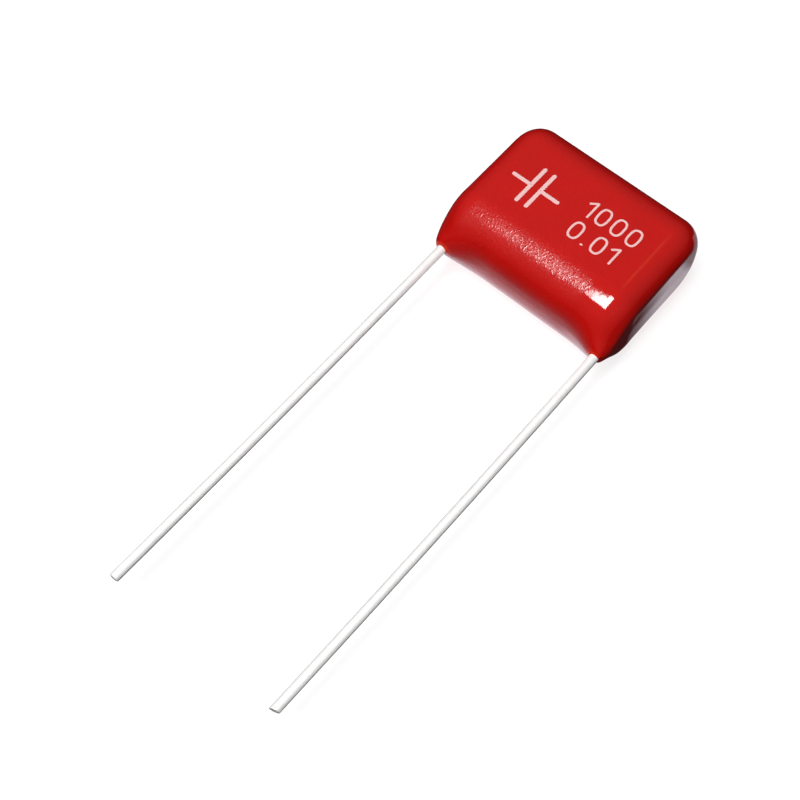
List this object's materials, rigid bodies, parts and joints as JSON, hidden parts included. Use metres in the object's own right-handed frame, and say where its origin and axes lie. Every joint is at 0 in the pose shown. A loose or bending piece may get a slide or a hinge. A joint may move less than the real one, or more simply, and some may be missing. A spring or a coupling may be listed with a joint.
{
  "type": "dipped film capacitor",
  "caption": "Flat rounded film capacitor in dipped red epoxy with radial wire leads, for a printed circuit board.",
  "frame": {"origin": "centre of the body's flat back face, on the surface that the part lies on", "axes": "+X along the lead pitch, +Y up the body away from the lead tips, +Z out of the printed face"},
  "size_m": [0.0171, 0.05, 0.0079],
  "materials": {
    "epoxy": "gloss",
    "film": "satin",
    "sprayed_metal": "matte",
    "solder": "satin",
    "tinned_wire": "polished"
  },
  "bodies": {
    "root": {"epoxy_coat": "epoxy", "film_winding": "film", "end_spray_left": "sprayed_metal", "end_spray_right": "sprayed_metal", "solder_left": "solder", "solder_right": "solder", "lead_left": "tinned_wire", "lead_right": "tinned_wire"}
  },
  "joints": []
}
